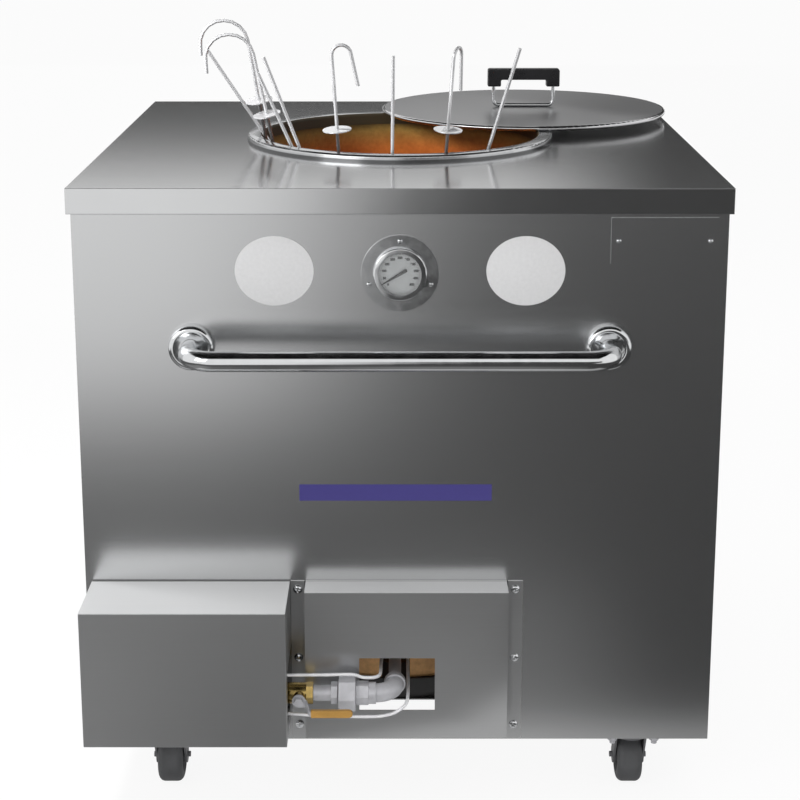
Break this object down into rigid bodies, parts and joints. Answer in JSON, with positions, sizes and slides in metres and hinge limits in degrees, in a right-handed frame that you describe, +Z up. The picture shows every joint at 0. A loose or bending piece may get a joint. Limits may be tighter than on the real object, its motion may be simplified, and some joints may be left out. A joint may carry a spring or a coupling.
{
  "type": "gas tandoor oven",
  "caption": "Square stainless gas tandoor oven on casters, with a clay pot, lid, towel bar, thermometer, gas line with lever valve and control box, skewers and hooks.",
  "frame": {"origin": "on the floor, at the centre of the cabinet, under the axis of the mouth", "axes": "+X to the right as seen from the front, +Y to the back, +Z up"},
  "size_m": [0.867, 1.0151, 1.0608],
  "materials": {
    "sheet_steel": "brushed stainless sheet",
    "lid_steel": "brushed stainless sheet",
    "bright_steel": "polished stainless",
    "rod_steel": "drawn stainless rod",
    "tube_metal": "soft bare tube",
    "zinc_steel": "zinc-plated steel",
    "frame_paint": "black paint",
    "pot_clay": "rough fired clay",
    "insulation": "mineral wool",
    "burner_iron": "raw casting",
    "shield_steel": "heat-darkened steel",
    "valve_brass": "machined brass",
    "sleeve_vinyl": "dipped vinyl",
    "valve_casting": "die-cast, satin",
    "button_red": "moulded",
    "inlet_iron": "black pipe",
    "dial_face": "printed dial",
    "needle_black": "black paint",
    "lens_glass": "clear",
    "grip_black": "moulded",
    "fork_paint": "dark paint",
    "wheel_rubber": "moulded"
  },
  "bodies": {
    "cabinet": {"top_deck": "sheet_steel", "mouth_ring": "bright_steel", "front_panel": "sheet_steel", "body_wrap": "sheet_steel", "base_pan": "sheet_steel", "frame_angles": "frame_paint", "bay_liner": "sheet_steel", "clay_pot_foot": "pot_clay", "clay_pot_belly": "pot_clay", "clay_pot_neck": "pot_clay", "insulation_fill": "insulation", "pot_stand": "frame_paint", "burner_ring": "burner_iron", "burner_pipe": "zinc_steel", "heat_shield": "shield_steel", "pilot_burner": "valve_brass", "pilot_tube": "tube_metal", "thermocouple_lead": "tube_metal", "gas_elbow": "zinc_steel", "union_nut": "zinc_steel", "gas_nipples": "zinc_steel", "valve_body": "valve_brass", "control_box_cover": "sheet_steel", "safety_valve": "valve_casting", "regulator": "valve_casting", "inlet_pipe": "inlet_iron", "burner_cover": "sheet_steel", "gauge_case": "bright_steel", "gauge_dial": "dial_face", "gauge_lens": "lens_glass", "towel_bar": "bright_steel", "blank_plate": "sheet_steel", "panel_screws": "bright_steel", "caster_plates": "zinc_steel"},
    "lid": {"lid_plate": "lid_steel", "lid_pan": "lid_steel", "lid_bail": "bright_steel", "lid_grip": "grip_black"},
    "lever": {"valve_stem": "zinc_steel", "valve_lever": "zinc_steel", "lever_sleeve": "sleeve_vinyl"},
    "needle": {"gauge_needle": "needle_black"},
    "button": {"reset_button": "button_red"},
    "caster_fork_front_left": {"fork_front_left": "fork_paint"},
    "caster_wheel_front_left": {"wheel_front_left": "wheel_rubber"},
    "caster_fork_front_right": {"fork_front_right": "fork_paint"},
    "caster_wheel_front_right": {"wheel_front_right": "wheel_rubber"},
    "caster_fork_rear_left": {"fork_rear_left": "fork_paint"},
    "caster_wheel_rear_left": {"wheel_rear_left": "wheel_rubber"},
    "caster_fork_rear_right": {"fork_rear_right": "fork_paint"},
    "caster_wheel_rear_right": {"wheel_rear_right": "wheel_rubber"},
    "skewer_1": {"skewer_1": "rod_steel"},
    "skewer_2": {"skewer_2": "rod_steel"},
    "skewer_3": {"skewer_3": "rod_steel"},
    "skewer_4": {"skewer_4": "rod_steel"},
    "skewer_5": {"skewer_5": "rod_steel"},
    "hook_1": {"hook_1": "rod_steel"},
    "hook_2": {"hook_2": "rod_steel"},
    "hook_3": {"hook_3": "rod_steel"},
    "hook_4": {"hook_4": "rod_steel"}
  },
  "joints": [
    {"name": "caster_swivel_front_left", "type": "hinge", "parent": "cabinet", "child": "caster_fork_front_left", "pos_m": [-0.326, -0.38, 0.0937], "axis": [0, 0, 1], "continuous": true},
    {"name": "wheel_spin_front_left", "type": "hinge", "parent": "caster_fork_front_left", "child": "caster_wheel_front_left", "pos_m": [-0.326, -0.356, 0.0375], "axis": [1, 0, 0], "continuous": true},
    {"name": "caster_swivel_front_right", "type": "hinge", "parent": "cabinet", "child": "caster_fork_front_right", "pos_m": [0.326, -0.38, 0.0937], "axis": [0, 0, 1], "continuous": true},
    {"name": "wheel_spin_front_right", "type": "hinge", "parent": "caster_fork_front_right", "child": "caster_wheel_front_right", "pos_m": [0.326, -0.356, 0.0375], "axis": [1, 0, 0], "continuous": true},
    {"name": "caster_swivel_rear_left", "type": "hinge", "parent": "cabinet", "child": "caster_fork_rear_left", "pos_m": [-0.326, 0.37, 0.0937], "axis": [0, 0, 1], "continuous": true},
    {"name": "wheel_spin_rear_left", "type": "hinge", "parent": "caster_fork_rear_left", "child": "caster_wheel_rear_left", "pos_m": [-0.326, 0.394, 0.0375], "axis": [1, 0, 0], "continuous": true},
    {"name": "caster_swivel_rear_right", "type": "hinge", "parent": "cabinet", "child": "caster_fork_rear_right", "pos_m": [0.326, 0.37, 0.0937], "axis": [0, 0, 1], "continuous": true},
    {"name": "wheel_spin_rear_right", "type": "hinge", "parent": "caster_fork_rear_right", "child": "caster_wheel_rear_right", "pos_m": [0.326, 0.394, 0.0375], "axis": [1, 0, 0], "continuous": true},
    {"name": "lever_turn", "type": "hinge", "parent": "cabinet", "child": "lever", "pos_m": [-0.134, -0.4945, 0.201], "axis": [0, 1, 0], "range_deg": [0, 90]},
    {"name": "needle_turn", "type": "hinge", "parent": "cabinet", "child": "needle", "pos_m": [0, -0.4285, 0.761], "axis": [0, 1, 0], "range_deg": [0, 260], "stiffness_Nm_per_rad": 0.0002, "springref_deg": -17.19},
    {"name": "button_press", "type": "slide", "parent": "cabinet", "child": "button", "axis": [0, 0, 1], "range_m": [0, 0.005], "stiffness_N_per_m": 500, "springref_m": -0.002},
    {"name": "lid_lift", "type": "slide", "parent": "cabinet", "child": "lid", "axis": [0, 0, 1], "range_m": [0, 0.35]},
    {"name": "skewer_1_lift", "type": "slide", "parent": "cabinet", "child": "skewer_1", "axis": [-0.5195, -0.1676, 0.8379], "range_m": [0, 0.72]},
    {"name": "skewer_2_lift", "type": "slide", "parent": "cabinet", "child": "skewer_2", "axis": [-0.3926, -0.1096, 0.9131], "range_m": [0, 0.72]},
    {"name": "skewer_3_lift", "type": "slide", "parent": "cabinet", "child": "skewer_3", "axis": [-0.3455, -0.0934, 0.9338], "range_m": [0, 0.72]},
    {"name": "skewer_4_lift", "type": "slide", "parent": "cabinet", "child": "skewer_4", "axis": [0.01, -0.0797, 0.9968], "range_m": [0, 0.72]},
    {"name": "skewer_5_lift", "type": "slide", "parent": "cabinet", "child": "skewer_5", "axis": [0.2638, -0.2073, 0.9421], "range_m": [0, 0.72]},
    {"name": "hook_1_lift", "type": "slide", "parent": "cabinet", "child": "hook_1", "axis": [-0.1463, -0.1658, 0.9752], "range_m": [0, 0.72]},
    {"name": "hook_2_lift", "type": "slide", "parent": "cabinet", "child": "hook_2", "axis": [-0.1849, -0.1363, 0.9733], "range_m": [0, 0.72]},
    {"name": "hook_3_lift", "type": "slide", "parent": "cabinet", "child": "hook_3", "axis": [-0.0596, -0.0993, 0.9933], "range_m": [0, 0.72]},
    {"name": "hook_4_lift", "type": "slide", "parent": "cabinet", "child": "hook_4", "axis": [0.0695, -0.0993, 0.9926], "range_m": [0, 0.72]}
  ]
}
